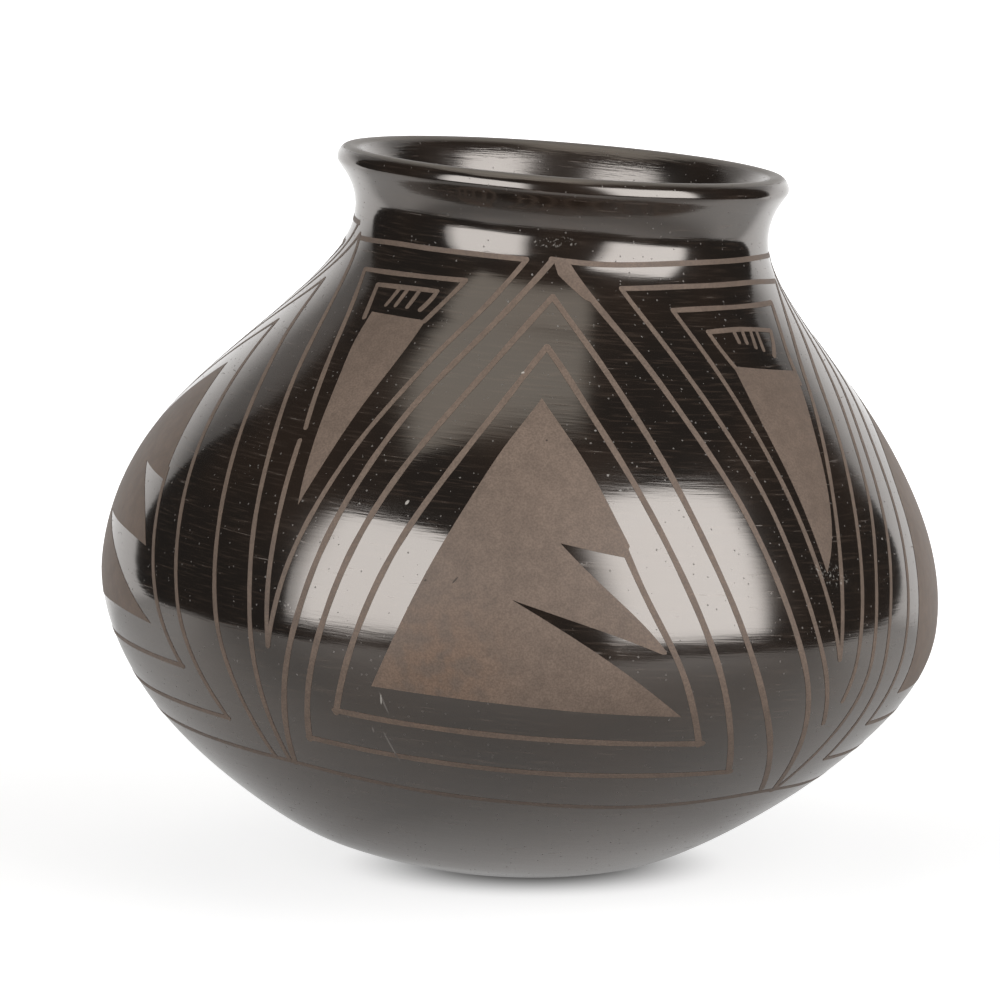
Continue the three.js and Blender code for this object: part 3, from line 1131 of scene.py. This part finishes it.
def studio_lights():
    soft_box("left_box", LEFT_BOX, LEFT_GLOW, LEFT_FADE)
    soft_box("right_box", RIGHT_BOX, RIGHT_GLOW, RIGHT_FADE)
    ceiling = soft_panel("ceiling", CEILING_PLACE, (0, 0, 0), *CEILING_SIZE, CEILING_GLOW, CEILING_FADE)
    ceiling.data.color = CEILING_COLOUR


def painted_camera_glow(graph, off_contact, depth):
    """A glow painted on the paper that only the camera sees, on top of the lit paper; it is left out round
    the foot, so the contact shadow there is partly real and partly painted.
    """
    near = graph.ramp(off_contact, PAINTED_SHADOW_FROM, PAINTED_SHADOW_TO, 0.0, LIFT_ROUND)
    return graph.math("ADD", near, graph.ramp(depth, 0.0, SWEEP_BEND + SWEEP_RADIUS, 0.0, LIFT_BACK))


def painted_reflection_glow(graph, off_contact, depth):
    """A painted reflection: a glow on top of the lit paper that only reflections see."""
    under = graph.ramp(graph.length(graph.place, (1.0, 1.0, 0.0)), SHEEN_REACH, 0.0, 0.0, SHEEN_UNDER)
    contact = graph.ramp(off_contact, PAINTED_SHADOW_FROM, PAINTED_SHADOW_TO, CONTACT_SHEEN, 1.0)
    sheen = graph.math("MULTIPLY", under, contact)
    for start, end, level in (NEAR_SHEEN, FRONT_SHEEN, BACK_SHEEN):
        sheen = graph.math("MAXIMUM", sheen, graph.ramp(depth, start, end, 0.0, level))
    off_foot = graph.length(graph.place, (FALL_STRETCH, 0.0, 1.0))
    return graph.math("MULTIPLY", sheen, graph.ramp(off_foot, FALL_FROM, FALL_TO, 1.0, 0.0))


def sweep_material():
    """Pale paper: white to the camera save for a partly painted contact shadow, lifted by a painted glow in
    reflections, and left as it is for the light.

    A camera behind the paper looks through it."""
    graph = Surface("sweep_paper")
    path = graph.node("LightPath").outputs
    depth = graph.node("SeparateXYZ", {0: graph.place}).outputs["Y"]
    off_contact = graph.length(graph.place, (PAINTED_SHADOW_STRETCH, 1.0, 0.0))
    lift = painted_camera_glow(graph, off_contact, depth)
    sheen = painted_reflection_glow(graph, off_contact, depth)
    # The camera sees the painted glow, and with it the painted part of the contact shadow round the foot.
    for_camera = graph.math("MULTIPLY", path["Is Camera Ray"], lift)
    # Reflections see the painted glow: most under and behind the jar, less in the painted contact shadow.
    for_gloss = graph.math("MULTIPLY", path["Is Glossy Ray"], sheen)
    glow = graph.node("Emission", {"Strength": graph.math("MAXIMUM", for_camera, for_gloss)})
    diffuse = graph.node("BsdfDiffuse", {"Color": (PAPER, PAPER, PAPER, 1)})
    both = graph.node("AddShader", {0: diffuse.outputs[0], 1: glow.outputs[0]})
    behind = graph.node("NewGeometry").outputs["Backfacing"]
    from_behind = graph.math("MULTIPLY", path["Is Camera Ray"], behind)
    clear = graph.node("BsdfTransparent")
    sided = graph.node("MixShader", {0: from_behind, 1: both.outputs[0], 2: clear.outputs[0]})
    graph.tree.nodes.remove(graph.shader)
    graph.wire(graph.tree.nodes["Material Output"], {"Surface": sided.outputs[0]})
    return graph.material


def sweep():
    """A sheet of paper that lies under the jar, widens beside it and curves up behind it."""
    bend = arc((SWEEP_BEND, SWEEP_RADIUS), SWEEP_RADIUS, -math.pi / 2, 0, SWEEP_STEPS)
    profile = [
        (SWEEP_FRONT, 0.0, SWEEP_FRONT_HALF),
        (SWEEP_SIDE, 0.0, SWEEP_SIDE_HALF),
        *((y, z, SWEEP_BACK_HALF) for y, z in bend),
        (SWEEP_BEND + SWEEP_RADIUS, SWEEP_TOP, SWEEP_BACK_HALF),
    ]
    points = [(side * half, y, z) for y, z, half in profile for side in (-1, 1)]
    faces = [(2 * k, 2 * k + 1, 2 * k + 3, 2 * k + 2) for k in range(len(profile) - 1)]
    mesh = bpy.data.meshes.new("sweep")
    mesh.from_pydata(points, [], faces)
    mesh.polygons.foreach_set("use_smooth", [True] * len(faces))
    mesh.materials.append(sweep_material())
    paper = bpy.data.objects.new("sweep", mesh)
    bpy.context.scene.collection.objects.link(paper)


def white_world():
    """White to the camera, and a faint glow to all else."""
    world = bpy.data.worlds.new("studio")
    bpy.context.scene.world = world
    world.use_nodes = True
    graph = Graph(world.node_tree)
    graph.tree.nodes.clear()
    for_camera = graph.node("LightPath").outputs["Is Camera Ray"]
    level = graph.node("MapRange", {"Value": for_camera, "To Min": ROOM_GLOW, "To Max": 1.0})
    background = graph.node("Background", {"Color": (1, 1, 1, 1), "Strength": level.outputs["Result"]})
    graph.node("OutputWorld", {"Surface": background.outputs[0]})


def camera():
    data = bpy.data.cameras.new("camera")
    data.lens = FOCAL_LENGTH
    data.sensor_width = SENSOR
    data.clip_end = CAMERA_REACH
    eye = bpy.data.objects.new("camera", data)
    bpy.context.scene.collection.objects.link(eye)
    back = Vector((0, -math.cos(CAMERA_ELEVATION), math.sin(CAMERA_ELEVATION)))
    eye.location = CAMERA_TARGET + CAMERA_DISTANCE * back
    eye.rotation_euler = (math.pi / 2 - CAMERA_ELEVATION, 0, 0)
    bpy.context.scene.camera = eye


build_jar(burnish())
build_paint(matte_paint())
studio_lights()
sweep()
white_world()
camera()
bpy.context.scene.view_settings.view_transform = "Standard"
